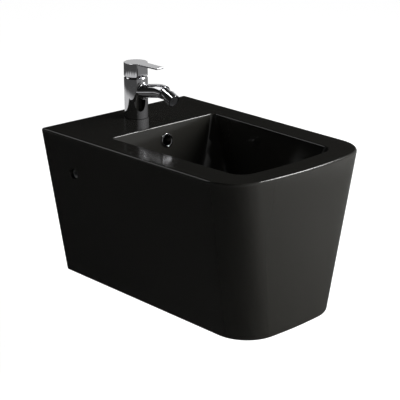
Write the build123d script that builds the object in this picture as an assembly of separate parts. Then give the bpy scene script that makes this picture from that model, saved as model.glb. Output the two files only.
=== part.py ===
"""Wall-hung bidet: a black glazed body with a single-lever mixer, a push-open waste and hidden wall fixings.

Millimetres, +Z up, the wall is the plane y = 0 and the bowl points to -Y.
The origin lies on the wall, midway between the two wall studs.
"""

from build123d import *
from math import cos, hypot, radians, sin, sqrt, tan
import os

# Ceramic body, outside
body_width = 350.0
body_length = 495.0
body_height = 288.0
base_width = 258.0
base_length = 474.0
side_angle = 1.3
corner_radius = 67.0
front_bow_radius = 800.0
edge_radius = 4.0
rim_above_studs = 73.0

# Ceramic body, walls and openings
ceramic_wall = 11.0
deck_thickness = 14.0
base_flange_width = 30.0
service_half_width = 62.0
service_margin = 28.0
service_corner_radius = 12.0

# Bowl
bowl_to_wall = 138.0
side_rim_width = 48.0
front_rim_width = 43.0
bowl_side_angle = 2.4
bowl_depth = 150.0
bowl_lean = 13.0
bowl_back_corner_radius = 10.0
bowl_front_corner_radius = 28.0
bowl_floor_corner_radius = 60.0
bowl_floor_fillet = 30.0
bowl_edge_radius = 3.0
floor_dish_width = 21.5
floor_dish_depth = 5.0

# Overflow
overflow_below_rim = 28.0
overflow_ring_radius = 13.0
overflow_bore_radius = 9.0
overflow_sleeve_wall = 1.6
overflow_ring_thickness = 2.6
overflow_sleeve_length = 10.0
duct_half_width = 17.0
duct_gap = 12.0
duct_wall = 9.0
duct_head = 3.0
overflow_hole_clearance = 0.15
overflow_slit_width = 1.6
overflow_lip_round = 0.9

# Waste
waste_to_wall = 290.0
waste_thread_radius = 20.955
waste_bore_radius = 17.9
waste_hole_radius = 22.5
waste_flange_radius = 31.5
waste_flange_thickness = 2.5
waste_seat_clearance = 1.0
waste_gasket_thickness = 1.5
waste_boss_wall = 5.5
waste_boss_depth = 33.0
waste_washer_radius = 29.0
waste_washer_thickness = 6.0
waste_washer_taper = 2.0
waste_slip_thickness = 1.5
waste_nut_thickness = 11.0
waste_nut_radius = 27.4
waste_nut_lug_radius = 30.6
waste_nut_lug_width = 10.0
waste_nut_lugs = 6
waste_tail_length = 30.0
waste_groove_width = 1.5
waste_groove_depth = 0.8
waste_slot_width = 20.0
waste_slot_inset = 5.0
waste_countersink_width = 3.7
waste_countersink_depth = 2.6
waste_flange_round = 1.2
bridge_thickness = 8.0
bridge_rib_width = 5.0
bridge_above_tail_end = 32.0
bridge_hub_radius = 9.0
cartridge_sleeve_radius = 7.0
cartridge_sleeve_bore = 5.8
cartridge_sleeve_wall = 4.0

# Push-open plug
plug_radius = 28.0
plug_thickness = 2.2
plug_dome = 1.6
plug_travel = 8.0
plug_seat_gap = 0.3
plug_boss_clearance = 0.9
plug_edge_round = 1.1
plug_boss_depth = 3.0
plug_seal_thickness = 1.7
plug_stem_radius = 3.0
plug_collar_clearance = 0.4
plug_collar_thickness = 3.0
plug_spring_length = 12.0

# Mixer, column and spout
mixer_to_wall = 60.0
mixer_radius = 22.0
mixer_shoulder = 74.5
tap_hole_radius = 17.5
base_gap = 0.6
base_seal_thickness = 2.0
base_seal_inset = 1.2
base_seal_width = 2.6
cavity_clearance = 0.5
cavity_floor = 36.0
spout_radius = 12.8
spout_rise = 10.5
spout_nod = 7.0
spout_bend_radius = 60.0
spout_reach = 78.0
spout_end_height = 60.5
spout_blend_radius = 4.0
water_way_radius = 6.0
inlet_radius = 4.5
inlet_depth = 12.0
inlet_spacing = 18.0
inlet_offset = -4.0
inlet_way_radius = 3.2

# Mixer fixing under the deck
fixing_stud_radius = 4.0
fixing_stud_offset = 9.0
fixing_stud_depth = 13.0
fixing_stud_drop = 38.0
horseshoe_radius = 25.0
horseshoe_slot_width = 31.0
horseshoe_slot_margin = 6.5
horseshoe_gasket_thickness = 3.0
horseshoe_washer_thickness = 2.5
fixing_nut_size = 13.0
fixing_nut_height = 12.0

# Cartridge
cartridge_wall = 1.5
port_margin = 0.95
cartridge_top = 72.0
cartridge_lid_thickness = 3.0
base_disc_thickness = 2.5
disc_thickness = 4.0
moving_disc_radius = 12.5
moving_disc_thickness = 3.5
carrier_height = 5.3
rotor_radius = 12.3
rotor_flange_play = 0.4
rotor_flange_height = 8.5
rotor_top = 74.0
rotor_clearance = 0.1
pin_end_inset = 2.0
nut_thickness = 5.0
nut_bore_radius = 13.4
dome_opening_radius = 14.0
dome_thickness = 2.0
port_seal_radius = 5.2
port_seal_section = 1.2
mixing_pocket_radius = 8.5
mixing_pocket_offset = 1.5
mixing_pocket_depth = 1.8
key_notch_width = 4.0
key_notch_depth = 2.5

# Lever and its stem
pivot_height = 62.0
stem_width = 8.0
stem_arm_radius = 2.6
stem_ball_radius = 3.3
stem_arm_length = 12.0
stem_top = 98.0
stem_play = 0.2
pin_radius = 1.5
pin_clearance = 0.05
lever_lift = 22.0
lever_bottom = 78.0
lever_top = 104.0
lever_chamfer = 1.4
lever_top_fillet = 0.8
lever_gap = 0.5
lever_reach = 69.0
lever_root_width = 21.6
lever_tip_width = 17.8
lever_tip_corner = 2.2
lever_blade_thickness = 2.8
lever_flat_depth = 2.7
lever_flat_bottom = 83.0
screw_radius = 2.5
screw_length = 9.0
screw_hex = 1.4
screw_hex_depth = 3.0
screw_height = 93.5
cover_radius = 3.0
cover_depth = 3.0

# Swivel nozzle
ball_radius = 7.75
ball_forward = 3.0
ball_neck_radius = 3.25
ball_bore_radius = 2.0
ball_shank_radius = 5.0
ball_shank_length = 9.0
ball_flange_radius = 6.0
ball_flange_thickness = 1.6
cup_clearance = 0.5
socket_clearance = 0.3
nozzle_tail = 4.6
nozzle_neck_radius = 10.0
nozzle_neck_length = 10.5
nozzle_radius = 12.0
nozzle_droop = 18.0
nozzle_edge_round = 0.5
nozzle_wall = 1.9
collar_thickness = 2.2
collar_round = 0.45
collar_seat_gap = 0.15
seat_ring_length = 7.0
seat_ring_bore = 3.9
aerator_length = 12.0
aerator_wall = 1.5
aerator_gasket_thickness = 1.2
aerator_gasket_bore = 7.0
jet_plate_thickness = 3.0
jet_pitch = 2.7
jet_rings = 2
aerator_recess = 1.0
jet_radius = 0.9

# Wall fixing
stud_spacing = 180.0
stud_radius = 6.0
stud_behind_wall = 45.0
stud_reach = 58.0
stud_waist_radius = 5.4
stud_waist_length = 8.0
sleeve_radius = 13.0
sleeve_length = 92.0
bush_wall = 3.0
bush_clearance = 0.2
lug_wall = 7.6
lug_length = 96.0
side_hole_to_wall = 75.0
side_hole_radius = 10.5
side_hole_depth = 16.0
side_hole_edge_radius = 1.5
web_half_width = 20.0
web_half_height = 22.0
side_screw_radius = 5.0
side_screw_head_radius = 8.0
side_screw_head_height = 8.0
side_screw_hole_clearance = 0.6
side_screw_bite = 13.0
side_screw_hex = 5.0
side_washer_radius = 9.6
side_washer_thickness = 2.0

# Heights and places that follow
rim_z = rim_above_studs
base_z = rim_z - body_height
deck_under_z = rim_z - deck_thickness
floor_z = rim_z - bowl_depth
bowl_front = body_length - front_rim_width
lean = tan(radians(bowl_lean))
side_slope = tan(radians(side_angle))
bowl_half_width = body_width / 2 - bowl_to_wall * side_slope - side_rim_width
mixer_place = Location((0, -mixer_to_wall, rim_z))
overflow_sleeve_radius = overflow_bore_radius + overflow_sleeve_wall
waste_seat_radius = waste_flange_radius + waste_seat_clearance
bush_radius = sleeve_radius + bush_clearance + bush_wall
lug_bore_radius = bush_radius + bush_clearance
lug_radius = lug_bore_radius + lug_wall


def plan_wire(half_width, back, front, angle, back_corner, front_corner, bow, height):
    """Plan outline with a straight back, closing sides, round corners and a bowed front."""
    turn = radians(angle)
    run = Vector(-sin(turn), -cos(turn))
    inward = Vector(-cos(turn), sin(turn))
    back_right = Vector(half_width, -back)
    bow_centre = Vector(0, bow - front)
    start = back_right + inward * front_corner - bow_centre
    along = start.dot(run)
    reach = sqrt(along**2 - start.dot(start) + (bow - front_corner) ** 2) - along
    side_end = back_right + run * reach
    corner_centre = side_end + inward * front_corner
    outward = (corner_centre - bow_centre).normalized()
    bow_end = bow_centre + outward * bow
    corner_middle = corner_centre + (outward - inward).normalized() * front_corner
    front_middle = Vector(0, -front)

    def mirrored(point):
        return Vector(-point.X, point.Y)

    edges = [
        Edge.make_three_point_arc(side_end, corner_middle, bow_end),
        Edge.make_three_point_arc(bow_end, front_middle, mirrored(bow_end)),
        Edge.make_three_point_arc(mirrored(bow_end), mirrored(corner_middle), mirrored(side_end)),
    ]
    if back_corner > 0:
        tangent = back_corner * tan(radians(90 - angle) / 2)
        back_end = back_right - Vector(tangent, 0)
        side_start = back_right + run * tangent
        centre = back_end - Vector(0, back_corner)
        middle = centre + ((back_end - centre) + (side_start - centre)).normalized() * back_corner
        edges += [
            Edge.make_line(mirrored(side_end), mirrored(side_start)),
            Edge.make_three_point_arc(mirrored(side_start), mirrored(middle), mirrored(back_end)),
            Edge.make_line(mirrored(back_end), back_end),
            Edge.make_three_point_arc(back_end, middle, side_start),
            Edge.make_line(side_start, side_end),
        ]
    else:
        edges += [
            Edge.make_line(mirrored(side_end), mirrored(back_right)),
            Edge.make_line(mirrored(back_right), back_right),
            Edge.make_line(back_right, side_end),
        ]
    return Wire(edges).moved(Location((0, 0, height)))


def lofted(lower, upper):
    """Solid with straight walls between two outlines."""
    return Solid.make_loft([lower, upper], ruled=True)


def turned(profile, where=Location((0, 0, 0))):
    """Solid of revolution about Z through (radius, height) points, moved to where."""
    outline = Wire.make_polygon([Vector(radius, 0, height) for radius, height in profile], close=True)
    return Solid.revolve(Face(outline), 360, Axis.Z).moved(where)


def rod(radius, low, high, where=Location((0, 0, 0))):
    """Upright cylinder between two heights, moved to where."""
    return Solid.make_cylinder(radius, high - low).moved(where * Location((0, 0, low)))


def tube(outer, inner, low, high, where=Location((0, 0, 0))):
    """Upright tube between two heights, moved to where."""
    return turned([(inner, low), (outer, low), (outer, high), (inner, high)], where)


def ball(radius, where=Location((0, 0, 0))):
    """Sphere, moved to where."""
    return Solid.make_sphere(radius, angle1=-90, angle2=90, angle3=360).moved(where)


def block(low, high):
    """Box between two corners."""
    size = Vector(*high) - Vector(*low)
    return Solid.make_box(size.X, size.Y, size.Z).moved(Location(low))


def aimed(origin, drop):
    """Place whose Z axis points away from the wall, drop degrees below level."""
    direction = (0, -cos(radians(drop)), -sin(radians(drop)))
    return Plane(origin=origin, x_dir=(1, 0, 0), z_dir=direction).location


def body_wire(height, inset, back):
    """Outline of the body at a height, with its sides and front drawn in by inset."""
    share = (height - base_z) / body_height
    half = (base_width + (body_width - base_width) * share) / 2 - back * side_slope
    front = base_length + (body_length - base_length) * share
    return plan_wire(
        half - inset / cos(radians(side_angle)),
        back,
        front - inset,
        side_angle,
        0,
        corner_radius - inset,
        front_bow_radius - inset,
        height,
    )


def bowl_wire(height, outset, back_corner, front_corner):
    """Outline of the bowl at a height, with its walls set out by outset."""
    drawn_in = (rim_z - height) * lean
    return plan_wire(
        bowl_half_width - drawn_in + outset,
        bowl_to_wall + drawn_in - outset,
        bowl_front - drawn_in + outset,
        bowl_side_angle,
        back_corner + outset,
        front_corner + outset,
        front_bow_radius,
        height,
    )


def bowl_form(outset):
    """The bowl as a solid: its inside, or with an outset the outside of its wall."""
    rim = bowl_wire(rim_z, outset, bowl_back_corner_radius, bowl_front_corner_radius)
    floor = bowl_wire(floor_z, outset, bowl_floor_corner_radius, bowl_floor_corner_radius)
    form = lofted(floor, rim)
    if outset:
        return form + extrude(Face(floor), outset, dir=(0, 0, -1))
    floor_edges = [edge for edge in form.edges() if edge.center().Z < floor_z + edge_radius]
    return form.fillet(bowl_floor_fillet, floor_edges)


waste_place = Location((0, -waste_to_wall, 0))
dish_z = floor_z - floor_dish_depth
flange_top_z = dish_z
gasket_top_z = flange_top_z - waste_flange_thickness
seat_z = gasket_top_z - waste_gasket_thickness
boss_under_z = dish_z - waste_boss_depth
washer_under_z = boss_under_z - waste_washer_thickness
slip_under_z = washer_under_z - waste_slip_thickness
nut_under_z = slip_under_z - waste_nut_thickness
tail_end_z = nut_under_z - waste_tail_length
duct_floor_z = boss_under_z + duct_wall
duct_top_z = duct_floor_z + duct_gap


def bowl_back(height, behind):
    """Place in y of a plane behind the bowl's back wall, at a height."""
    return -(bowl_to_wall + (rim_z - height) * lean) + behind / cos(radians(bowl_lean))


def duct_form(grow):
    """Overflow duct, down behind the bowl and forward to the waste hole, grown by the duct's wall."""
    top = rim_z - overflow_below_rim + overflow_bore_radius + duct_head + grow
    front = ceramic_wall - grow
    behind = ceramic_wall + duct_gap + grow
    ceiling = duct_top_z + grow
    bottom = duct_floor_z - grow
    end = -waste_to_wall
    points = [
        (0, bowl_back(top, front), top),
        (0, bowl_back(ceiling, front), ceiling),
        (0, end, ceiling),
        (0, end, bottom),
        (0, bowl_back(bottom, behind), bottom),
        (0, bowl_back(top, behind), top),
    ]
    outline = Face(Wire.make_polygon([Vector(*point) for point in points], close=True))
    half = duct_half_width + grow
    return extrude(outline.moved(Location((-half, 0, 0))), 2 * half, dir=(1, 0, 0))


overflow_z = rim_z - overflow_below_rim
overflow_place = aimed((0, bowl_back(overflow_z, 0), overflow_z), -bowl_lean)


def side_x(height, y):
    """Half width of the body's outside at a height and a distance along."""
    share = (height - base_z) / body_height
    return (base_width + (body_width - base_width) * share) / 2 + y * side_slope


side_face_x = side_x(0, -side_hole_to_wall)
washer_seat_x = side_face_x - side_hole_depth
stud_x = stud_spacing / 2
side_screw_hole_radius = side_screw_radius + side_screw_hole_clearance
screw_head_x = washer_seat_x + side_washer_thickness
screw_tip_x = stud_x + sleeve_radius - side_screw_bite


def sideways(x, side):
    """Place on the side screw's axis whose Z axis points outwards."""
    return Plane(
        origin=(side * x, -side_hole_to_wall, 0), x_dir=(0, 1, 0), z_dir=(side, 0, 0)
    ).location


def ceramic_body():
    """Glazed shell: outside, bowl with its rim, overflow duct, waste seat, lugs and service openings."""
    overrun = 2 * edge_radius
    body = lofted(body_wire(base_z, 0, -overrun), body_wire(rim_z, 0, -overrun))
    body -= block((-body_width, 0, base_z - overrun), (body_width, 2 * overrun, rim_z + overrun))
    body = body.fillet(edge_radius, body.edges())
    inside = lofted(
        body_wire(base_z + ceramic_wall, ceramic_wall, ceramic_wall),
        body_wire(deck_under_z, ceramic_wall, ceramic_wall),
    )
    filled = bowl_form(ceramic_wall) + duct_form(duct_wall)
    filled += rod(waste_seat_radius + waste_boss_wall, boss_under_z, floor_z, waste_place)
    for side in (-1, 1):
        filled += rod(lug_radius, 0, lug_length, stud_axis(side))
        web_ends = sorted((side * stud_x, side * body_width / 2))
        filled += block(
            (web_ends[0], -side_hole_to_wall - web_half_width, -web_half_height),
            (web_ends[1], -side_hole_to_wall + web_half_width, web_half_height),
        )
    body -= inside - filled

    above = Face(bowl_wire(rim_z, 0, bowl_back_corner_radius, bowl_front_corner_radius))
    body -= bowl_form(0) + extrude(above, edge_radius, dir=(0, 0, 1))
    rim_edges = [
        edge
        for edge in body.edges()
        if abs(edge.center().Z - rim_z) < edge_radius / 10
        and abs(edge.center().X) < bowl_half_width + edge_radius / 2
        and bowl_to_wall - edge_radius / 2 < -edge.center().Y < bowl_front + edge_radius / 2
    ]
    body = body.fillet(bowl_edge_radius, rim_edges)

    body -= turned(
        [
            (0, seat_z),
            (waste_seat_radius, seat_z),
            (waste_seat_radius, dish_z),
            (waste_seat_radius + floor_dish_width, floor_z),
            (0, floor_z),
        ],
        waste_place,
    )
    body -= rod(waste_hole_radius, boss_under_z - ceramic_wall, floor_z, waste_place)
    body -= duct_form(0)
    overflow_hole = overflow_sleeve_radius + overflow_hole_clearance
    body -= rod(overflow_hole, -ceramic_wall - duct_gap / 2, duct_gap, overflow_place)
    body -= rod(tap_hole_radius, -deck_thickness, edge_radius, mixer_place)
    for side in (-1, 1):
        body -= rod(lug_bore_radius, -edge_radius, lug_length + edge_radius, stud_axis(side))
        body -= rod(side_hole_radius, 0, body_width, sideways(washer_seat_x, side))
        body -= rod(side_screw_hole_radius, 0, washer_seat_x - stud_x, sideways(stud_x, side))
    hole_edges = [
        edge
        for edge in body.edges()
        if abs(abs(edge.bounding_box().center().X) - side_face_x) < edge_radius
        and abs(edge.bounding_box().center().Y + side_hole_to_wall) < edge_radius
        and abs(edge.bounding_box().center().Z) < edge_radius
    ]
    body = body.fillet(side_hole_edge_radius, hole_edges)

    back_opening = block(
        (-service_half_width, -2 * ceramic_wall, base_z + service_margin),
        (service_half_width, ceramic_wall, deck_under_z - service_margin),
    )
    body -= back_opening.fillet(service_corner_radius, back_opening.edges().filter_by(Axis.Y))
    under = Face(body_wire(base_z - ceramic_wall, base_flange_width, base_flange_width))
    body -= extrude(under, 3 * ceramic_wall, dir=(0, 0, 1))
    return body


def overflow_ring():
    """Trim ring with its split sleeve, standing in the back wall of the bowl."""
    lip = overflow_ring_thickness
    ring = turned(
        [
            (overflow_bore_radius, -overflow_sleeve_length),
            (overflow_sleeve_radius, -overflow_sleeve_length),
            (overflow_sleeve_radius, 0),
            (overflow_ring_radius, 0),
            (overflow_ring_radius, lip - overflow_lip_round),
            (overflow_ring_radius - overflow_lip_round, lip),
            (overflow_bore_radius + overflow_lip_round, lip),
            (overflow_bore_radius, lip - overflow_lip_round),
        ]
    )
    half_slit = overflow_slit_width / 2
    slit = block(
        (-half_slit, 0, -2 * overflow_sleeve_length),
        (half_slit, 2 * overflow_ring_radius, -overflow_ring_thickness),
    )
    for turn in (0, 120, 240):
        ring -= slit.moved(Location((0, 0, 0), (0, 0, turn)))
    return ring.moved(overflow_place)


bridge_top_z = tail_end_z + bridge_above_tail_end
sleeve_bottom_z = bridge_top_z - bridge_thickness
plug_under_z = flange_top_z + plug_seat_gap
plug_boss_z = plug_under_z - plug_boss_depth
plug_boss_radius = waste_bore_radius - plug_boss_clearance
plug_collar_radius = cartridge_sleeve_bore - plug_collar_clearance
collar_low_z = sleeve_bottom_z + cartridge_sleeve_wall + plug_spring_length
collar_high_z = collar_low_z + plug_collar_thickness
sleeve_top_z = collar_high_z + plug_travel + plug_seat_gap + cartridge_sleeve_wall


def countersink_radius(height):
    """Radius of the cone in the flange, at a height."""
    slope = waste_countersink_width / waste_countersink_depth
    return waste_bore_radius + (height - flange_top_z + waste_countersink_depth) * slope


def waste_body():
    """Flange, threaded tube with overflow slots, and the bridge that holds the push-open cartridge.

    A run-out groove parts the nut's thread from the trap's.
    """
    groove_low_z = nut_under_z - waste_groove_width
    groove_radius = waste_thread_radius - waste_groove_depth
    form = turned(
        [
            (waste_bore_radius, tail_end_z),
            (waste_thread_radius, tail_end_z),
            (waste_thread_radius, groove_low_z),
            (groove_radius, groove_low_z),
            (groove_radius, nut_under_z),
            (waste_thread_radius, nut_under_z),
            (waste_thread_radius, gasket_top_z),
            (waste_flange_radius, gasket_top_z),
            (waste_flange_radius, flange_top_z - waste_flange_round),
            (waste_flange_radius - waste_flange_round, flange_top_z),
            (countersink_radius(flange_top_z), flange_top_z),
            (waste_bore_radius, flange_top_z - waste_countersink_depth),
        ]
    )
    half_slot = waste_slot_width / 2
    for side in (-1, 1):
        ends = sorted((side * waste_slot_inset, side * waste_hole_radius))
        form -= block((-half_slot, ends[0], duct_floor_z), (half_slot, ends[1], duct_top_z))
    half_rib = bridge_rib_width / 2
    bridge = rod(bridge_hub_radius, sleeve_bottom_z, bridge_top_z)
    reach = waste_bore_radius
    bridge += block((-reach, -half_rib, sleeve_bottom_z), (reach, half_rib, bridge_top_z))
    bridge += block((-half_rib, -reach, sleeve_bottom_z), (half_rib, reach, bridge_top_z))
    bridge -= rod(cartridge_sleeve_radius, sleeve_bottom_z, bridge_top_z)
    return (form + bridge).moved(waste_place)


def waste_gasket():
    return tube(waste_flange_radius, waste_hole_radius, seat_z, gasket_top_z, waste_place)


def waste_washer():
    """Tapered rubber ring that closes the waste hole from below."""
    return turned(
        [
            (waste_thread_radius, washer_under_z),
            (waste_washer_radius, washer_under_z),
            (waste_washer_radius, boss_under_z - waste_washer_taper),
            (waste_washer_radius - waste_washer_taper, boss_under_z),
            (waste_thread_radius, boss_under_z),
        ],
        waste_place,
    )


def waste_slip_ring():
    return tube(waste_washer_radius, waste_thread_radius, slip_under_z, washer_under_z, waste_place)


def waste_backnut():
    """Ring nut with grip lugs."""
    nut = tube(waste_nut_radius, waste_thread_radius, nut_under_z, slip_under_z)
    root = (waste_thread_radius + waste_nut_radius) / 2
    half_lug = waste_nut_lug_width / 2
    lug = block((root, -half_lug, nut_under_z), (waste_nut_lug_radius, half_lug, slip_under_z))
    for step in range(waste_nut_lugs):
        nut += lug.moved(Location((0, 0, 0), (0, 0, 360 * step / waste_nut_lugs)))
    return nut.moved(waste_place)


def plug_cap():
    """Domed disc over the waste, with a boss that carries its seal."""
    top_z = plug_under_z + plug_thickness
    curve = (plug_radius**2 + plug_dome**2) / (2 * plug_dome)
    dome = ball(curve, Location((0, 0, top_z + plug_dome - curve)))
    dome = dome & rod(plug_radius, top_z - plug_thickness / 2, top_z + 2 * plug_dome)
    disc = turned(
        [
            (0, plug_boss_z),
            (plug_boss_radius, plug_boss_z),
            (plug_boss_radius, plug_under_z),
            (plug_radius - plug_edge_round, plug_under_z),
            (plug_radius, plug_under_z + plug_edge_round),
            (plug_radius, top_z),
            (0, top_z),
        ]
    )
    socket = rod(plug_stem_radius, plug_boss_z, plug_under_z)
    return (disc + dome - socket).moved(waste_place)


def plug_seal():
    """Cone-edged seal on the boss, which closes the countersink of the flange."""
    low_z = plug_under_z - plug_seal_thickness
    return turned(
        [
            (plug_boss_radius, low_z),
            (countersink_radius(low_z) - plug_seat_gap, low_z),
            (countersink_radius(plug_under_z) - plug_seat_gap, plug_under_z),
            (plug_boss_radius, plug_under_z),
        ],
        waste_place,
    )


def click_stem():
    """Rod under the plug, with the collar that the spring lifts."""
    return turned(
        [
            (0, collar_low_z),
            (plug_collar_radius, collar_low_z),
            (plug_collar_radius, collar_high_z),
            (plug_stem_radius, collar_high_z),
            (plug_stem_radius, plug_under_z),
            (0, plug_under_z),
        ],
        waste_place,
    )


def click_cartridge():
    """Sleeve screwed in the bridge: closed below, with a guide for the stem above."""
    guide_z = sleeve_top_z - cartridge_sleeve_wall
    return turned(
        [
            (0, sleeve_bottom_z),
            (cartridge_sleeve_radius, sleeve_bottom_z),
            (cartridge_sleeve_radius, sleeve_top_z),
            (plug_stem_radius + socket_clearance, sleeve_top_z),
            (plug_stem_radius + socket_clearance, guide_z),
            (cartridge_sleeve_bore, guide_z),
            (cartridge_sleeve_bore, sleeve_bottom_z + cartridge_sleeve_wall),
            (0, sleeve_bottom_z + cartridge_sleeve_wall),
        ],
        waste_place,
    )


def click_spring():
    """Coil spring under the stem's collar, as the sleeve that its turns fill."""
    spring_foot_z = sleeve_bottom_z + cartridge_sleeve_wall
    return tube(plug_collar_radius, plug_stem_radius, spring_foot_z, collar_low_z, waste_place)


port_reach = hypot(inlet_spacing / 2, inlet_offset)
disc_radius = port_reach + inlet_way_radius + port_margin
housing_bore = port_reach + port_seal_radius + port_margin
cartridge_radius = housing_bore + cartridge_wall
rotor_flange_radius = housing_bore - rotor_flange_play
cavity_radius = cartridge_radius + cavity_clearance
base_seal_outer = mixer_radius - base_seal_inset
base_seal_inner = base_seal_outer - base_seal_width
lever_flat_offset = mixer_radius - lever_flat_depth
bend_back = spout_bend_radius * (sin(radians(spout_rise)) + sin(radians(spout_nod)))
bend_lift = spout_bend_radius * (cos(radians(spout_nod)) - cos(radians(spout_rise)))
bend_start = Vector(0, -(spout_reach - bend_back), spout_end_height - bend_lift)
spout_slope = tan(radians(spout_rise))
spout_root = Vector(0, 0, bend_start.Z - (spout_reach - bend_back) * spout_slope)
spout_end = Vector(0, -spout_reach, spout_end_height)


def in_mixer(point):
    """A point of the mixer's own frame, in the part's frame."""
    return Vector(0, -mixer_to_wall, rim_z) + point


socket_place = aimed(in_mixer(spout_end), spout_nod)
ball_place = socket_place * Location((0, 0, ball_forward))
ball_centre = ball_place.position
nozzle_place = aimed(ball_centre, spout_nod + nozzle_droop)
cup_radius = hypot(nozzle_neck_radius, nozzle_tail) + cup_clearance
cup_floor = -cup_radius
dome_radius = hypot(mixer_radius, mixer_shoulder - pivot_height)


def dome_height(radius, sphere_radius):
    """Height of the sphere about the lever's pivot, at a radius from the column's axis."""
    return pivot_height + sqrt(sphere_radius**2 - radius**2)


def mixer_body():
    """Chromed casting: column, spout, cartridge bore, water ways and the holes in its foot."""
    column = rod(mixer_radius, base_gap, dome_height(cavity_radius, dome_radius))
    path = Wire(
        [
            Edge.make_line(spout_root, bend_start),
            Edge.make_tangent_arc(bend_start, bend_start - spout_root, spout_end),
        ]
    )
    section = Plane(origin=spout_root, z_dir=bend_start - spout_root).location
    spout = Solid.sweep(Face(Wire.make_circle(spout_radius)).moved(section), path)
    body = column + spout
    joint_edges = [
        edge
        for edge in body.edges()
        if -mixer_radius - spout_blend_radius < edge.center().Y < 0
        and base_gap + spout_blend_radius < edge.center().Z < mixer_shoulder
        and edge.length > 2 * spout_radius
    ]
    body = body.fillet(spout_blend_radius, joint_edges)

    crown = rod(mixer_radius + spout_blend_radius, mixer_shoulder, 2 * mixer_shoulder)
    body -= crown - ball(dome_radius, Location((0, 0, pivot_height)))
    body -= rod(cavity_radius, cavity_floor, 2 * mixer_shoulder)
    body -= tube(base_seal_outer, base_seal_inner, base_gap, base_seal_thickness)
    for side in (-1, 1):
        inlet = Location((side * inlet_spacing / 2, inlet_offset, 0))
        body -= rod(inlet_radius, base_gap, inlet_depth, inlet)
        body -= rod(inlet_way_radius, inlet_depth, cavity_floor, inlet)
    body -= rod(fixing_stud_radius, base_gap, fixing_stud_depth, Location((0, fixing_stud_offset, 0)))
    way = Face(Wire.make_circle(water_way_radius)).moved(section)
    body -= Solid.sweep(way, Wire([Edge.make_line(spout_root, bend_start)]))
    body = body.moved(mixer_place)
    body -= rod(ball_neck_radius, -spout_reach / 2, cup_floor, ball_place)
    body -= rod(ball_shank_radius, cup_floor - ball_shank_length, 0, ball_place)
    body -= rod(ball_flange_radius + socket_clearance, cup_floor - socket_clearance, 0, ball_place)
    return body - ball(cup_radius, ball_place)


def base_seal():
    return tube(base_seal_outer, base_seal_inner, 0, base_seal_thickness, mixer_place)


def mixer_stud():
    where = mixer_place * Location((0, fixing_stud_offset, 0))
    return rod(fixing_stud_radius, -fixing_stud_drop, fixing_stud_depth, where)


def horseshoe(high, thickness):
    """Crescent under the deck: it clears the supply hoses and hangs on the stud."""
    form = rod(horseshoe_radius, high - thickness, high)
    half_slot = horseshoe_slot_width / 2
    form -= block(
        (-half_slot, -2 * horseshoe_radius, high - 2 * thickness),
        (half_slot, fixing_stud_offset - horseshoe_slot_margin, high + thickness),
    )
    stud = Location((0, fixing_stud_offset, 0))
    form -= rod(fixing_stud_radius, high - 2 * thickness, high + thickness, stud)
    return form.moved(mixer_place)


horseshoe_top = -deck_thickness
washer_top = horseshoe_top - horseshoe_gasket_thickness
nut_top = washer_top - horseshoe_washer_thickness


def horseshoe_gasket():
    return horseshoe(horseshoe_top, horseshoe_gasket_thickness)


def horseshoe_washer():
    return horseshoe(washer_top, horseshoe_washer_thickness)


def mixer_nut():
    """Tall hexagon nut."""
    outline = RegularPolygon(fixing_nut_size / 2, 6, major_radius=False).face()
    nut = extrude(outline.moved(Location((0, 0, nut_top))), fixing_nut_height, dir=(0, 0, -1))
    nut -= rod(fixing_stud_radius, nut_top - fixing_nut_height, nut_top)
    return nut.moved(mixer_place * Location((0, fixing_stud_offset, 0)))


disc_bottom = cavity_floor + base_disc_thickness
disc_top = disc_bottom + disc_thickness
moving_disc_top = disc_top + moving_disc_thickness
carrier_top = moving_disc_top + carrier_height
lid_under = cartridge_top - cartridge_lid_thickness
flange_under = lid_under - rotor_flange_height
disc_travel = stem_arm_length * sin(radians(lever_lift))


def inlet_holes(radius, low, high):
    """The two supply ways, through a piece between two heights."""
    ways = [
        rod(radius, low, high, Location((side * inlet_spacing / 2, inlet_offset, 0))) for side in (-1, 1)
    ]
    return ways[0] + ways[1]


def cartridge_base():
    """Foot of the cartridge, with grooves for its two seals."""
    form = rod(housing_bore, cavity_floor, disc_bottom)
    form -= inlet_holes(port_seal_radius, cavity_floor, cavity_floor + port_seal_section)
    form -= inlet_holes(inlet_way_radius, cavity_floor, disc_bottom)
    return form.moved(mixer_place)


def port_seals():
    outer = inlet_holes(port_seal_radius, cavity_floor, cavity_floor + port_seal_section)
    return (outer - inlet_holes(inlet_way_radius, cavity_floor, disc_bottom)).moved(mixer_place)


def fixed_disc():
    form = rod(disc_radius, disc_bottom, disc_top)
    form -= inlet_holes(inlet_way_radius, disc_bottom, disc_top)
    return form.moved(mixer_place)


disc_place = mixer_place * Location((0, disc_travel / 2, 0))


def moving_disc():
    """Ceramic disc whose pocket uncovers the ports as it slides, and lets the water out at its edge."""
    form = rod(moving_disc_radius, disc_top, moving_disc_top)
    pocket_top = disc_top + mixing_pocket_depth
    form -= rod(mixing_pocket_radius, disc_top, pocket_top, Location((0, mixing_pocket_offset, 0)))
    half_way = water_way_radius
    form -= block((-half_way, 0, disc_top), (half_way, 2 * moving_disc_radius, pocket_top))
    return form.moved(disc_place)


def disc_carrier():
    """Slide on top of the moving disc, with the hole for the end of the stem."""
    form = rod(moving_disc_radius, moving_disc_top, carrier_top).moved(disc_place)
    return form - rod(stem_ball_radius + stem_play, moving_disc_top, carrier_top, mixer_place)


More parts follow.
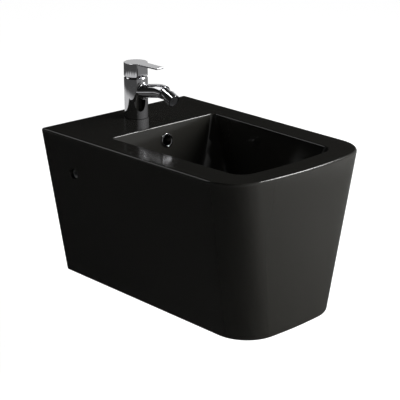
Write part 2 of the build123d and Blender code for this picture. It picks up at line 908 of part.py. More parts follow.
def cartridge_housing():
    """Plastic can with windows for the mixed water and a lid that holds the rotor down."""
    form = turned(
        [
            (housing_bore, cavity_floor),
            (cartridge_radius, cavity_floor),
            (cartridge_radius, cartridge_top),
            (rotor_radius + rotor_clearance, cartridge_top),
            (rotor_radius + rotor_clearance, lid_under),
            (housing_bore, lid_under),
        ]
    )
    window = block(
        (-water_way_radius, -2 * cartridge_radius, disc_top),
        (water_way_radius, 0, carrier_top),
    )
    for turn in (-60, 0, 60):
        form -= window.moved(Location((0, 0, 0), (0, 0, turn)))
    return form.moved(mixer_place)


def slot_profile():
    """Side view of the slot in which the stem rocks."""
    lift = tan(radians(lever_lift))
    half = stem_width / 2 + stem_play
    rise = rotor_top - pivot_height + stem_play
    fall = pivot_height - carrier_top + stem_play
    swung = stem_width / 2 / cos(radians(lever_lift)) + stem_play
    points = [
        (0, -half, pivot_height + rise),
        (0, -half, pivot_height),
        (0, -swung - fall * lift, pivot_height - fall),
        (0, half, pivot_height - fall),
        (0, half + stem_play, pivot_height),
        (0, swung + rise * lift + stem_play, pivot_height + rise),
    ]
    return Face(Wire.make_polygon([Vector(*point) for point in points], close=True))


def spindle_rotor():
    """Rotor that turns in the cartridge and carries the stem on its pin."""
    form = turned(
        [
            (0, carrier_top),
            (rotor_radius, carrier_top),
            (rotor_radius, flange_under),
            (rotor_flange_radius, flange_under),
            (rotor_flange_radius, lid_under),
            (rotor_radius, lid_under),
            (rotor_radius, rotor_top),
            (0, rotor_top),
        ]
    )
    half = stem_width / 2 + stem_play
    form -= extrude(slot_profile().moved(Location((-half, 0, 0))), 2 * half, dir=(1, 0, 0))
    return form.moved(mixer_place) - stem_pin()


pin_length = 2 * (rotor_flange_radius - pin_end_inset)
pivot_place = mixer_place * Location((0, 0, pivot_height), (0, 90, 0))


def stem_pin():
    return rod(pin_radius, -pin_length / 2, pin_length / 2, pivot_place)


def control_stem():
    """Square stem with an eye for the pin and a ball at the end of its arm."""
    half = stem_width / 2
    eye = Location((0, 0, pivot_height), (0, 90, 0))
    form = block((-half, -half, pivot_height), (half, half, stem_top)) + rod(half, -half, half, eye)
    form += rod(stem_arm_radius, pivot_height - stem_arm_length, pivot_height)
    form += ball(stem_ball_radius, Location((0, 0, pivot_height - stem_arm_length)))
    form -= rod(pin_radius + pin_clearance, -stem_width, stem_width, eye)
    return form.moved(mixer_place)


def cartridge_nut():
    """Ring nut over the cartridge, with four key notches."""
    form = tube(cavity_radius, nut_bore_radius, cartridge_top, cartridge_top + nut_thickness)
    half_notch = key_notch_width / 2
    nut_top_height = cartridge_top + nut_thickness
    notch = block(
        (-half_notch, (nut_bore_radius + cavity_radius) / 2, nut_top_height - key_notch_depth),
        (half_notch, 2 * cavity_radius, 2 * nut_top_height),
    )
    for turn in range(4):
        form -= notch.moved(Location((0, 0, 0), (0, 0, 90 * turn)))
    return form.moved(mixer_place)


def cover_ring():
    """Domed ring that hides the nut and carries the column's curve on under the lever."""
    skin = turned(
        [
            (dome_opening_radius, cartridge_top + nut_thickness),
            (cavity_radius, cartridge_top + nut_thickness),
            (cavity_radius, pivot_height + dome_radius),
            (dome_opening_radius, pivot_height + dome_radius),
        ]
    )
    centre = Location((0, 0, pivot_height))
    shell = ball(dome_radius, centre) - ball(dome_radius - dome_thickness, centre)
    return (skin & shell).moved(mixer_place)


screw_axis = Location((0, 0, screw_height), (-90, 0, 0))


def lever_handle():
    """Cap with its flat blade, hollow below to clear the dome, with the socket for the stem."""
    cap = rod(mixer_radius, lever_bottom, lever_top)
    bottom_edges = [edge for edge in cap.edges() if abs(edge.center().Z - lever_bottom) < stem_play]
    cap = cap.chamfer(lever_chamfer, None, bottom_edges)
    cap -= block(
        (-mixer_radius, -2 * mixer_radius, lever_flat_bottom),
        (mixer_radius, -lever_flat_offset, lever_top),
    )
    blade_low = lever_top - lever_blade_thickness
    half_root = lever_root_width / 2
    half_tip = lever_tip_width / 2
    outline = Wire.make_polygon(
        [
            Vector(-half_root, -stem_width, blade_low),
            Vector(-half_root, -lever_flat_offset, blade_low),
            Vector(-half_tip, -lever_reach, blade_low),
            Vector(half_tip, -lever_reach, blade_low),
            Vector(half_root, -lever_flat_offset, blade_low),
            Vector(half_root, -stem_width, blade_low),
        ],
        close=True,
    )
    blade = extrude(Face(outline), lever_blade_thickness, dir=(0, 0, 1))
    tip_edges = [
        edge for edge in blade.edges().filter_by(Axis.Z) if edge.center().Y < -lever_reach + stem_width
    ]
    blade = blade.fillet(lever_tip_corner, tip_edges)
    form = cap + blade
    top_edges = [edge for edge in form.edges() if edge.center().Z > lever_top - stem_play]
    form = form.fillet(lever_top_fillet, top_edges)
    form -= ball(dome_radius + lever_gap, Location((0, 0, pivot_height)))
    half = stem_width / 2
    form -= block((-half, -half, lever_bottom), (half, half, stem_top))
    form -= rod(screw_radius, 0, 2 * mixer_radius, screw_axis)
    form -= rod(cover_radius, mixer_radius - cover_depth, 2 * mixer_radius, screw_axis)
    return form.moved(mixer_place)


def handle_screw():
    """Grub screw that clamps the lever to the stem, from behind."""
    start = stem_width / 2
    end = start + screw_length
    socket = RegularPolygon(screw_hex, 6).face().moved(Location((0, 0, end)))
    form = rod(screw_radius, start, end) - extrude(socket, screw_hex_depth, dir=(0, 0, -1))
    return form.moved(mixer_place * screw_axis)


def screw_cover():
    """Plain plug over the grub screw, flush with the cap."""
    form = rod(cover_radius, mixer_radius - cover_depth, 2 * mixer_radius, screw_axis)
    form = form & rod(mixer_radius, lever_bottom, lever_top)
    return form.moved(mixer_place)


def ball_stud():
    """Hollow stud screwed in the spout's end, with the ball that the nozzle swings on."""
    shank = turned(
        [
            (0, cup_floor - ball_shank_length),
            (ball_shank_radius, cup_floor - ball_shank_length),
            (ball_shank_radius, cup_floor - socket_clearance),
            (ball_flange_radius, cup_floor - socket_clearance),
            (ball_flange_radius, cup_floor - socket_clearance + ball_flange_thickness),
            (ball_neck_radius, cup_floor - socket_clearance + ball_flange_thickness),
            (ball_neck_radius, 0),
            (0, 0),
        ]
    )
    form = ball(ball_radius) + shank
    form -= rod(ball_bore_radius, cup_floor - 2 * ball_shank_length, 2 * ball_radius)
    return form.moved(ball_place)


def swivel_collar():
    """Loose trim ring at the spout's end, round the tail of the nozzle."""
    back = -ball_forward + collar_seat_gap
    form = tube(spout_radius, cup_radius, back, back + collar_thickness)
    front_edges = [edge for edge in form.edges() if edge.bounding_box().min.Z > back + collar_round]
    return form.fillet(collar_round, front_edges).moved(ball_place)


seat_radius = ball_radius + socket_clearance
nozzle_bore_radius = nozzle_radius - nozzle_wall
chamber_start = nozzle_neck_length + nozzle_radius - nozzle_neck_radius
aerator_start = chamber_start + aerator_gasket_thickness
aerator_end = aerator_start + aerator_length
nozzle_length = aerator_end + aerator_recess


def nozzle_housing():
    """Swivel nozzle: neck round the ball, barrel round the aerator."""
    step = nozzle_radius - nozzle_neck_radius
    outside = turned(
        [
            (0, -nozzle_tail),
            (nozzle_neck_radius - nozzle_edge_round, -nozzle_tail),
            (nozzle_neck_radius, -nozzle_tail + nozzle_edge_round),
            (nozzle_neck_radius, nozzle_neck_length),
            (nozzle_radius, nozzle_neck_length + step / 2),
            (nozzle_radius, nozzle_length - nozzle_edge_round),
            (nozzle_radius - nozzle_edge_round, nozzle_length),
            (0, nozzle_length),
        ]
    )
    bore = ball(seat_radius) + rod(seat_radius, 0, chamber_start)
    bore += rod(nozzle_bore_radius, chamber_start, 2 * nozzle_length)
    return (outside - bore).moved(nozzle_place)


def ball_seat_ring():
    """Slippery ring that seats on the front of the ball."""
    ring = tube(seat_radius, seat_ring_bore, chamber_start - seat_ring_length, chamber_start)
    return (ring - ball(seat_radius)).moved(nozzle_place)


def aerator_gasket():
    return tube(nozzle_bore_radius, aerator_gasket_bore, chamber_start, aerator_start, nozzle_place)


def aerator_insert():
    """Flow straightener: a cup whose bottom is a plate of jets."""
    form = rod(nozzle_bore_radius, aerator_start, aerator_end)
    form -= rod(nozzle_bore_radius - aerator_wall, aerator_start, aerator_end - jet_plate_thickness)
    jet = rod(jet_radius, aerator_start, nozzle_length)
    form -= jet
    for ring in range(1, jet_rings + 1):
        count = 6 * ring
        for step in range(count):
            angle = radians(360 * step / count)
            form -= jet.moved(Location((ring * jet_pitch * cos(angle), ring * jet_pitch * sin(angle), 0)))
    return form.moved(nozzle_place)


def pair(form_of_side):
    """The left and right copies of a fitting, as one group."""
    return Compound(children=[form_of_side(side) for side in (-1, 1)])


def stud_axis(side):
    """Place on a wall stud's axis whose Z axis points away from the wall."""
    return aimed((side * stud_x, 0, 0), 0)


def wall_studs():
    """Double-ended studs: threads in the wall and in the sleeves, with a plain waist at the wall's face."""
    profile = [
        (0, -stud_behind_wall),
        (stud_radius, -stud_behind_wall),
        (stud_radius, 0),
        (stud_waist_radius, 0),
        (stud_waist_radius, stud_waist_length),
        (stud_radius, stud_waist_length),
        (stud_radius, stud_reach),
        (0, stud_reach),
    ]
    return pair(lambda side: turned(profile, stud_axis(side)))


def fixing_sleeves():
    """Steel sleeves on the wall studs, each cross-bored for its side screw."""

    def sleeve(side):
        form = rod(sleeve_radius, 0, sleeve_length, stud_axis(side))
        form -= rod(stud_radius, 0, stud_reach, stud_axis(side))
        return form - rod(side_screw_radius, 0, 2 * sleeve_radius, sideways(screw_tip_x, side))

    return pair(sleeve)


def sleeve_bushes():
    """Plastic bushes between the steel sleeves and the ceramic lugs."""

    def bush(side):
        form = tube(bush_radius, bush_radius - bush_wall, 0, lug_length, stud_axis(side))
        return form - rod(side_screw_hole_radius, 0, 2 * bush_radius, sideways(stud_x, side))

    return pair(bush)


def side_screws():
    """Long socket screws from the side holes into the steel sleeves."""

    def screw(side):
        form = rod(side_screw_radius, screw_tip_x, screw_head_x)
        form += rod(side_screw_head_radius, screw_head_x, screw_head_x + side_screw_head_height)
        socket = RegularPolygon(side_screw_hex, 6).face()
        socket = socket.moved(Location((0, 0, screw_head_x + side_screw_head_height)))
        form -= extrude(socket, side_screw_head_height / 2, dir=(0, 0, -1))
        return form.moved(sideways(0, side))

    return pair(screw)


def side_washers():
    def washer(side):
        return tube(side_washer_radius, side_screw_radius, washer_seat_x, screw_head_x, sideways(0, side))

    return pair(washer)


sub_parts = [
    ceramic_body,
    overflow_ring,
    waste_body,
    waste_gasket,
    waste_washer,
    waste_slip_ring,
    waste_backnut,
    plug_cap,
    plug_seal,
    click_stem,
    click_cartridge,
    click_spring,
    mixer_body,
    base_seal,
    mixer_stud,
    horseshoe_gasket,
    horseshoe_washer,
    mixer_nut,
    cartridge_base,
    port_seals,
    fixed_disc,
    moving_disc,
    disc_carrier,
    cartridge_housing,
    spindle_rotor,
    stem_pin,
    control_stem,
    cartridge_nut,
    cover_ring,
    lever_handle,
    handle_screw,
    screw_cover,
    ball_stud,
    swivel_collar,
    nozzle_housing,
    ball_seat_ring,
    aerator_gasket,
    aerator_insert,
    wall_studs,
    fixing_sleeves,
    sleeve_bushes,
    side_screws,
    side_washers,
]

os.makedirs("parts", exist_ok=True)
for make in sub_parts:
    export_step(make(), f"parts/{make.__name__}.step")
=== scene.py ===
"""Looks of a wall-hung bidet: black glaze, chromed mixer and swivel nozzle, fittings, light and camera."""

from math import cos, radians, sin

import bpy
from bpy.props import FloatProperty, FloatVectorProperty, PointerProperty
from bpy.types import Operator, Panel, PropertyGroup
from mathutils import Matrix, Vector


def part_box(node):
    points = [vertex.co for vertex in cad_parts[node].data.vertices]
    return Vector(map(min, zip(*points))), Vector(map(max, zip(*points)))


bl_info = {
    "name": "Wall-hung Bidet",
    "version": (1, 0, 0),
    "blender": (4, 5, 0),
    "location": "3D View > Sidebar > Bidet",
    "description": "Finishes a wall-hung bidet and its mixer, and sets up light and camera",
    "category": "Object",
}

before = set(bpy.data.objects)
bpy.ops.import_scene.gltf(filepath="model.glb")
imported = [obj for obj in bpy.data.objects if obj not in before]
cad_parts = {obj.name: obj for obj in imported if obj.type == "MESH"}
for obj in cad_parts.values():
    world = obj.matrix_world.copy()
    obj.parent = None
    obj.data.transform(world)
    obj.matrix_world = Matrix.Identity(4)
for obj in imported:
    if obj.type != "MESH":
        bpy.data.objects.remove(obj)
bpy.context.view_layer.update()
MM = 0.001
RIM_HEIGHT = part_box("ceramic_body")[1][2]

# Nodes by finish
CHROMED = (
    "mixer_body",
    "cover_ring",
    "lever_handle",
    "screw_cover",
    "swivel_collar",
    "nozzle_housing",
    "overflow_ring",
    "plug_cap",
    "waste_body",
)
STEEL = (
    "click_stem",
    "click_spring",
    "horseshoe_washer",
    "stem_pin",
    "handle_screw",
    "wall_studs",
    "fixing_sleeves",
    "side_screws",
)
BRASS = ("waste_backnut", "mixer_stud", "mixer_nut", "control_stem", "cartridge_nut", "ball_stud")
RUBBER = (
    "waste_gasket",
    "waste_washer",
    "plug_seal",
    "base_seal",
    "horseshoe_gasket",
    "port_seals",
    "aerator_gasket",
)
WHITE_PLASTIC = (
    "waste_slip_ring",
    "click_cartridge",
    "disc_carrier",
    "spindle_rotor",
    "ball_seat_ring",
    "sleeve_bushes",
    "side_washers",
)
GREY_PLASTIC = ("cartridge_base", "cartridge_housing", "aerator_insert")
DISC_CERAMIC = ("fixed_disc", "moving_disc")

# Shading of the pieces: gap that is closed, angle up to which faces are one flat, and angle that stays sharp
WELD_GAP = 0.002 * MM
FLAT_ANGLE = radians(0.3)
SHARP_ANGLE = radians(50)
FLAT_WEIGHT = 100

# Noise values between which a finish goes from its low to its high setting
NOISE_LOW = 0.3
NOISE_HIGH = 0.7

# Spacing of the slow changes in glaze, polish and plastic colour, and of the fine grains
GLAZE_CLOUD = 30 * MM
POLISH_CLOUD = 6 * MM
TINT_CLOUD = 12 * MM
METAL_GRAIN = 1 * MM
PLASTIC_GRAIN = 0.8 * MM
FINE_GRAIN_DEPTH = 0.01 * MM
RUBBER_GRAIN_DEPTH = 0.02 * MM
DISC_GRAIN_DEPTH = 0.004 * MM

# Floor: half its side, its colour, and the share and strength of the glow that whitens it for the camera
FLOOR_HALF = 6.0
FLOOR_COLOR = (0.8, 0.8, 0.8, 1)
FLOOR_GLOW_SHARE = 0.5
FLOOR_GLOW = 1.88

# Horizontal direction to the front right, in which reflections brighten
FRONT_RIGHT = (1, -1, 0)

# Brightness of the floor in reflections: a rise to the front right, and a ring some way round the bidet
FRONT_RISE = {"start": 0.45, "end": 0.95, "low": 0.03, "high": 0.22}
RING_INNER = {"start": 1.2, "end": 1.4, "low": 0.0, "high": 0.6}
RING_OUTER = {"start": 1.8, "end": 1.92, "low": 1.0, "high": 0.12}

# Brightness of the world other than to the camera, by the direction's share to the front right
WORLD_RISE = {"start": 0.1, "end": 1.0, "low": 0.012, "high": 0.5}

# Width and height of each lamp
LAMP_SIZES = {
    "key": (1.2, 1.2),
    "edge": (0.7, 0.7),
    "rim": (1.0, 1.0),
    "sheen": (1.6, 1.2),
    "glint": (0.5, 0.5),
}
SENSOR_WIDTH = 36


class GlazeSettings(PropertyGroup):
    """Black ceramic glaze."""

    color: FloatVectorProperty(
        name="Color",
        description="Colour of the glaze",
        subtype="COLOR",
        default=(0.0195, 0.019, 0.0168),
    )
    roughness: FloatProperty(
        name="Roughness",
        description="Softness of the glaze's reflections",
        default=0.12,
    )
    peel_size: FloatProperty(
        name="Peel Size",
        description="Spacing of the fine waves in the glaze",
        default=0.004,
        unit="LENGTH",
    )
    peel_depth: FloatProperty(
        name="Peel Depth",
        description="Depth of the fine waves in the glaze",
        default=0.000004,
        unit="LENGTH",
    )


class MetalSettings(PropertyGroup):
    """Plated and bare metals."""

    chrome: FloatVectorProperty(
        name="Chrome",
        description="Reflection colour of the chrome plate",
        subtype="COLOR",
        default=(0.72, 0.72, 0.74),
    )
    chrome_roughness: FloatProperty(
        name="Chrome Roughness",
        description="Softness of the chrome's reflections",
        default=0.04,
    )
    steel: FloatVectorProperty(
        name="Steel",
        description="Reflection colour of the plain steel",
        subtype="COLOR",
        default=(0.42, 0.42, 0.43),
    )
    brass: FloatVectorProperty(
        name="Brass",
        description="Reflection colour of bare brass",
        subtype="COLOR",
        default=(0.62, 0.43, 0.17),
    )


class StudioSettings(PropertyGroup):
    """Camera, floor and lamps."""

    azimuth: FloatProperty(
        name="Azimuth",
        description="Camera angle round the bidet, in degrees",
        default=-42.99,
    )
    elevation: FloatProperty(
        name="Elevation",
        description="Camera angle above level, in degrees",
        default=19.21,
    )
    distance: FloatProperty(
        name="Distance",
        description="From the aim point to the camera",
        default=2.0939,
        unit="LENGTH",
    )
    aim: FloatVectorProperty(
        name="Aim Point",
        description="Point at the picture's centre",
        default=(-0.0158, -0.25, -0.039),
        unit="LENGTH",
    )
    lens: FloatProperty(name="Lens", description="Focal length in millimetres", default=106.38)
    floor_drop: FloatProperty(
        name="Floor Drop",
        description="From the rim down to the floor",
        default=0.4,
        unit="LENGTH",
    )
    key_place: FloatVectorProperty(
        name="Key Place",
        description="Middle of the large light in front",
        default=(1.24, -1.75, 0.5),
        unit="LENGTH",
    )
    key_power: FloatProperty(name="Key Power", description="Power of the large light in front", default=70.0)
    edge_place: FloatVectorProperty(
        name="Edge Place",
        description="Middle of the light high at the right",
        default=(1.29, -0.91, 1.46),
        unit="LENGTH",
    )
    edge_power: FloatProperty(
        name="Edge Power",
        description="Power of the light high at the right",
        default=26.0,
    )
    rim_place: FloatVectorProperty(
        name="Rim Place",
        description="Middle of the light at the back left",
        default=(-0.66, 1.13, 1.36),
        unit="LENGTH",
    )
    rim_power: FloatProperty(
        name="Rim Power",
        description="Power of the light at the back left",
        default=4.0,
    )
    sheen_place: FloatVectorProperty(
        name="Sheen Place",
        description="Middle of the light behind, which only the chrome catches",
        default=(1.42, 1.27, 0.8),
        unit="LENGTH",
    )
    sheen_power: FloatProperty(
        name="Sheen Power",
        description="Power of the light behind, which only the chrome catches",
        default=3.3,
    )
    glint_place: FloatVectorProperty(
        name="Glint Place",
        description="Middle of the small light above, which only the chrome catches",
        default=(-0.45, 0.3, 1.3),
        unit="LENGTH",
    )
    glint_power: FloatProperty(name="Glint Power", description="Power of the small light above", default=5.0)


def settings():
    """The add-on's settings on this scene."""
    return bpy.context.scene.bidet


def empty_tree(owner):
    """Emptied node tree of a material or a world."""
    owner.use_nodes = True
    owner.node_tree.nodes.clear()
    return owner.node_tree


def new_material(name):
    """Empty node material with its shader and output."""
    material = bpy.data.materials.new(name)
    tree = empty_tree(material)
    output = tree.nodes.new("ShaderNodeOutputMaterial")
    shader = tree.nodes.new("ShaderNodeBsdfPrincipled")
    tree.links.new(shader.outputs["BSDF"], output.inputs["Surface"])
    return material, tree, shader


def noise(tree, spacing, detail=2.0):
    """Cloudy noise on the object whose lumps are spacing metres apart."""
    texture = tree.nodes.new("ShaderNodeTexNoise")
    texture.inputs["Scale"].default_value = 1 / spacing
    texture.inputs["Detail"].default_value = detail
    places = tree.nodes.new("ShaderNodeTexCoord").outputs["Object"]
    tree.links.new(places, texture.inputs["Vector"])
    return texture.outputs["Fac"]


def ranged(tree, value, start, end, low, high):
    """Maps a value's range from start to end onto low to high."""
    ranger = tree.nodes.new("ShaderNodeMapRange")
    ranger.inputs["From Min"].default_value = start
    ranger.inputs["From Max"].default_value = end
    ranger.inputs["To Min"].default_value = low
    ranger.inputs["To Max"].default_value = high
    tree.links.new(value, ranger.inputs["Value"])
    return ranger.outputs["Result"]


def vary_roughness(tree, shader, roughness, cloud, change):
    """Lets the roughness drift by a share either way."""
    low = roughness * (1 - change)
    high = roughness * (1 + change)
    drift = ranged(tree, noise(tree, cloud), NOISE_LOW, NOISE_HIGH, low, high)
    tree.links.new(drift, shader.inputs["Roughness"])


def add_bump(tree, shader, height, depth):
    """Raises the surface by height times depth metres."""
    bump = tree.nodes.new("ShaderNodeBump")
    bump.inputs["Strength"].default_value = 1.0
    bump.inputs["Distance"].default_value = depth
    tree.links.new(height, bump.inputs["Height"])
    tree.links.new(bump.outputs["Normal"], shader.inputs["Normal"])


def glaze_material():
    """Black glaze with a fine orange peel."""
    glaze = settings().glaze
    material, tree, shader = new_material("black_glaze")
    shader.inputs["Base Color"].default_value = (*glaze.color, 1)
    vary_roughness(tree, shader, glaze.roughness, GLAZE_CLOUD, 0.08)
    add_bump(tree, shader, noise(tree, glaze.peel_size, 1.0), glaze.peel_depth)
    return material


def metal_material(name, color, roughness, grain_depth=0.0):
    """Metal with slight changes in polish and, where asked, a machined grain."""
    material, tree, shader = new_material(name)
    shader.inputs["Base Color"].default_value = (*color, 1)
    shader.inputs["Metallic"].default_value = 1.0
    vary_roughness(tree, shader, roughness, POLISH_CLOUD, 0.15)
    if grain_depth:
        add_bump(tree, shader, noise(tree, METAL_GRAIN, 4.0), grain_depth)
    return material


def plain_material(name, color, roughness, grain_depth):
    """Moulded plastic, rubber or unglazed ceramic with a fine grain and slight colour changes."""
    material, tree, shader = new_material(name)
    tint = tree.nodes.new("ShaderNodeMix")
    tint.data_type = "RGBA"
    tint.inputs["A"].default_value = (*[0.9 * part for part in color], 1)
    tint.inputs["B"].default_value = (*color, 1)
    tree.links.new(noise(tree, TINT_CLOUD), tint.inputs["Factor"])
    tree.links.new(tint.outputs["Result"], shader.inputs["Base Color"])
    shader.inputs["Roughness"].default_value = roughness
    add_bump(tree, shader, noise(tree, PLASTIC_GRAIN, 3.0), grain_depth)
    return material


def shade_smooth(obj):
    """Joins the piece's flat faces and shades the rest smoothly, flat faces first, up to the sharp angle."""
    weld = obj.modifiers.new("weld", "WELD")
    weld.merge_threshold = WELD_GAP
    flats = obj.modifiers.new("flats", "DECIMATE")
    flats.decimate_type = "DISSOLVE"
    flats.angle_limit = FLAT_ANGLE
    obj.data.polygons.foreach_set("use_smooth", [True] * len(obj.data.polygons))
    obj.data.update()
    split = obj.modifiers.new("sharp", "EDGE_SPLIT")
    split.split_angle = SHARP_ANGLE
    split.use_edge_sharp = False
    normals = obj.modifiers.new("normals", "WEIGHTED_NORMAL")
    normals.weight = FLAT_WEIGHT


def dress(nodes, material):
    """Gives CAD nodes a finish and smooth shading."""
    for node in nodes:
        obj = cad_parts[node]
        shade_smooth(obj)
        for slot in obj.material_slots:
            slot.material = material


class BIDET_OT_ceramic(Operator):
    """Glaze the ceramic body"""

    bl_idname = "bidet.ceramic"
    bl_label = "Ceramic Body"

    def execute(self, context):
        dress(["ceramic_body"], glaze_material())
        return {"FINISHED"}


class BIDET_OT_chrome(Operator):
    """Plate the mixer, nozzle, overflow ring and waste"""

    bl_idname = "bidet.chrome"
    bl_label = "Chromed Pieces"

    def execute(self, context):
        metals = settings().metals
        dress(CHROMED, metal_material("chrome", metals.chrome, metals.chrome_roughness))
        return {"FINISHED"}


class BIDET_OT_fittings(Operator):
    """Finish the fixings, seals and cartridge"""

    bl_idname = "bidet.fittings"
    bl_label = "Fittings"

    def execute(self, context):
        metals = settings().metals
        dress(STEEL, metal_material("steel", metals.steel, 0.32, FINE_GRAIN_DEPTH))
        dress(BRASS, metal_material("brass", metals.brass, 0.28, FINE_GRAIN_DEPTH))
        dress(RUBBER, plain_material("rubber", (0.02, 0.02, 0.02), 0.6, RUBBER_GRAIN_DEPTH))
        dress(WHITE_PLASTIC, plain_material("white_plastic", (0.75, 0.75, 0.72), 0.4, FINE_GRAIN_DEPTH))
        dress(GREY_PLASTIC, plain_material("grey_plastic", (0.03, 0.03, 0.031), 0.45, FINE_GRAIN_DEPTH))
        dress(DISC_CERAMIC, plain_material("disc_ceramic", (0.8, 0.78, 0.72), 0.25, DISC_GRAIN_DEPTH))
        return {"FINISHED"}


def along(tree, vector, direction):
    """Length of a vector along a direction."""
    product = tree.nodes.new("ShaderNodeVectorMath")
    product.operation = "DOT_PRODUCT"
    product.inputs[1].default_value = Vector(direction).normalized()
    tree.links.new(vector, product.inputs[0])
    return product.outputs["Value"]


def distance_from_origin(tree, vector):
    """Length of a vector."""
    length = tree.nodes.new("ShaderNodeVectorMath")
    length.operation = "LENGTH"
    tree.links.new(vector, length.inputs[0])
    return length.outputs["Value"]


def combined(tree, operation, first, second):
    """Result of a math operation on two values."""
    node = tree.nodes.new("ShaderNodeMath")
    node.operation = operation
    tree.links.new(first, node.inputs[0])
    tree.links.new(second, node.inputs[1])
    return node.outputs["Value"]


def set_or_link(tree, value, socket):
    """Sets a socket to a number, or links an output to it."""
    if isinstance(value, float):
        socket.default_value = value
    else:
        tree.links.new(value, socket)


def shader_mix(tree, amount, first, second):
    """Mixes two shaders by an amount, a number or an output."""
    mix = tree.nodes.new("ShaderNodeMixShader")
    set_or_link(tree, amount, mix.inputs["Fac"])
    tree.links.new(first, mix.inputs[1])
    tree.links.new(second, mix.inputs[2])
    return mix.outputs["Shader"]


def glow(tree, kind, strength=1.0):
    """White emission or background of a strength, a number or an output."""
    node = tree.nodes.new(kind)
    node.inputs["Color"].default_value = (1, 1, 1, 1)
    set_or_link(tree, strength, node.inputs["Strength"])
    return node.outputs[0]


def floor_material():
    """White with a soft shadow to the camera, graded in reflections, and plain and pale otherwise."""
    material = bpy.data.materials.new("studio_floor")
    tree = empty_tree(material)
    output = tree.nodes.new("ShaderNodeOutputMaterial")
    rays = tree.nodes.new("ShaderNodeLightPath")
    diffuse = tree.nodes.new("ShaderNodeBsdfDiffuse")
    diffuse.inputs["Color"].default_value = FLOOR_COLOR
    lit = diffuse.outputs["BSDF"]
    place = tree.nodes.new("ShaderNodeNewGeometry").outputs["Position"]

    front = ranged(tree, along(tree, place, FRONT_RIGHT), **FRONT_RISE)
    away = distance_from_origin(tree, place)
    ring = combined(tree, "MULTIPLY", ranged(tree, away, **RING_INNER), ranged(tree, away, **RING_OUTER))
    graded = glow(tree, "ShaderNodeEmission", combined(tree, "MAXIMUM", front, ring))

    whitened = shader_mix(tree, FLOOR_GLOW_SHARE, lit, glow(tree, "ShaderNodeEmission", FLOOR_GLOW))
    bounced = shader_mix(tree, rays.outputs["Is Glossy Ray"], lit, graded)
    seen = shader_mix(tree, rays.outputs["Is Camera Ray"], bounced, whitened)
    tree.links.new(seen, output.inputs["Surface"])
    return material


def studio_floor(height, half):
    """Flat square floor at a height."""
    mesh = bpy.data.meshes.new("studio_floor")
    corners = [(-half, -half, height), (half, -half, height), (half, half, height), (-half, half, height)]
    mesh.from_pydata(corners, [], [(0, 1, 2, 3)])
    floor = bpy.data.objects.new("studio_floor", mesh)
    bpy.context.scene.collection.objects.link(floor)
    floor.data.materials.append(floor_material())


def studio_world():
    """White to the camera. Otherwise it is dim behind and at the left, and bright at the front right."""
    world = bpy.data.worlds.new("studio")
    bpy.context.scene.world = world
    tree = empty_tree(world)
    output = tree.nodes.new("ShaderNodeOutputWorld")
    rays = tree.nodes.new("ShaderNodeLightPath")
    direction = tree.nodes.new("ShaderNodeTexCoord").outputs["Generated"]
    strength = ranged(tree, along(tree, direction, FRONT_RIGHT), **WORLD_RISE)
    graded = glow(tree, "ShaderNodeBackground", strength)
    white = glow(tree, "ShaderNodeBackground")
    seen = shader_mix(tree, rays.outputs["Is Camera Ray"], graded, white)
    tree.links.new(seen, output.inputs["Surface"])


def softbox(name, place, target, size, power):
    """Rectangular lamp at place that faces target and that the camera doesn't see."""
    light = bpy.data.lights.new(name, "AREA")
    light.shape = "RECTANGLE"
    light.size, light.size_y = size
    light.energy = power
    lamp = bpy.data.objects.new(name, light)
    lamp.location = place
    lamp.rotation_euler = (Vector(target) - Vector(place)).to_track_quat("-Z", "Y").to_euler()
    lamp.visible_camera = False
    bpy.context.scene.collection.objects.link(lamp)
    return lamp


def studio_lamps(studio, aim):
    """Lamps. The key isn't reflected, the edge is only reflected, and sheen and glint only reach chrome."""
    lamps = {}
    for name, size in LAMP_SIZES.items():
        place = getattr(studio, f"{name}_place")
        power = getattr(studio, f"{name}_power")
        lamps[name] = softbox(name, place, aim, size, power)
    lamps["key"].visible_glossy = False
    lamps["edge"].visible_diffuse = False
    chromed = bpy.data.collections.new("chromed")
    for node in CHROMED:
        chromed.objects.link(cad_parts[node])
    for name in ("sheen", "glint"):
        lamps[name].light_linking.receiver_collection = chromed


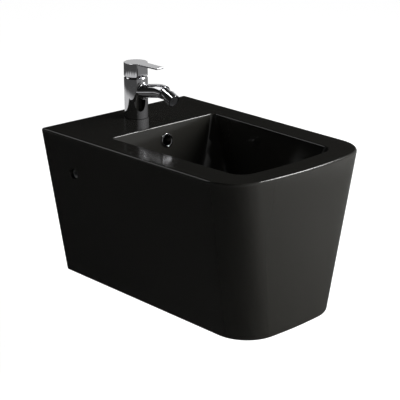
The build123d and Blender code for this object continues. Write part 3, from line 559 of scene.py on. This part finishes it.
def studio_camera(studio, aim):
    """Camera on a sphere round the aim point."""
    turn = radians(studio.azimuth)
    lift = radians(studio.elevation)
    back = Vector((sin(turn) * cos(lift), -cos(turn) * cos(lift), sin(lift)))
    camera_data = bpy.data.cameras.new("camera")
    camera_data.sensor_width = SENSOR_WIDTH
    camera_data.lens = studio.lens
    camera = bpy.data.objects.new("camera", camera_data)
    camera.location = aim + back * studio.distance
    camera.rotation_euler = (-back).to_track_quat("-Z", "Y").to_euler()
    bpy.context.scene.collection.objects.link(camera)
    bpy.context.scene.camera = camera


class BIDET_OT_studio(Operator):
    """Set up the floor, lamps and camera"""

    bl_idname = "bidet.studio"
    bl_label = "Studio"

    def execute(self, context):
        studio = settings().studio
        aim = Vector(studio.aim)
        studio_world()
        studio_floor(RIM_HEIGHT - studio.floor_drop, FLOOR_HALF)
        studio_lamps(studio, aim)
        studio_camera(studio, aim)
        context.scene.view_settings.view_transform = "Standard"
        return {"FINISHED"}


class BidetSettings(PropertyGroup):
    """All settings of the bidet."""

    glaze: PointerProperty(name="Glaze", description="Black ceramic glaze", type=GlazeSettings)
    metals: PointerProperty(name="Metals", description="Plated and bare metals", type=MetalSettings)
    studio: PointerProperty(name="Studio", description="Camera, floor and lamps", type=StudioSettings)


class BIDET_PT_sidebar(Panel):
    """Lists the pieces in build order"""

    bl_idname = "BIDET_PT_sidebar"
    bl_label = "Wall-hung Bidet"
    bl_space_type = "VIEW_3D"
    bl_region_type = "UI"
    bl_category = "Bidet"

    def draw(self, context):
        for step in STEPS:
            self.layout.operator(step.bl_idname)


SETTINGS = (GlazeSettings, MetalSettings, StudioSettings, BidetSettings)
STEPS = (BIDET_OT_studio, BIDET_OT_ceramic, BIDET_OT_chrome, BIDET_OT_fittings)


def register():
    """Adds the settings, operators and panel to Blender."""
    for cls in (*SETTINGS, *STEPS, BIDET_PT_sidebar):
        bpy.utils.register_class(cls)
    bpy.types.Scene.bidet = PointerProperty(type=BidetSettings)


def unregister():
    """Takes them out again."""
    del bpy.types.Scene.bidet
    for cls in reversed((*SETTINGS, *STEPS, BIDET_PT_sidebar)):
        bpy.utils.unregister_class(cls)


def main():
    """Registers the add-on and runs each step."""
    register()
    for step in STEPS:
        group, action = step.bl_idname.split(".")
        getattr(getattr(bpy.ops, group), action)()


if __name__ == "__main__":
    main()
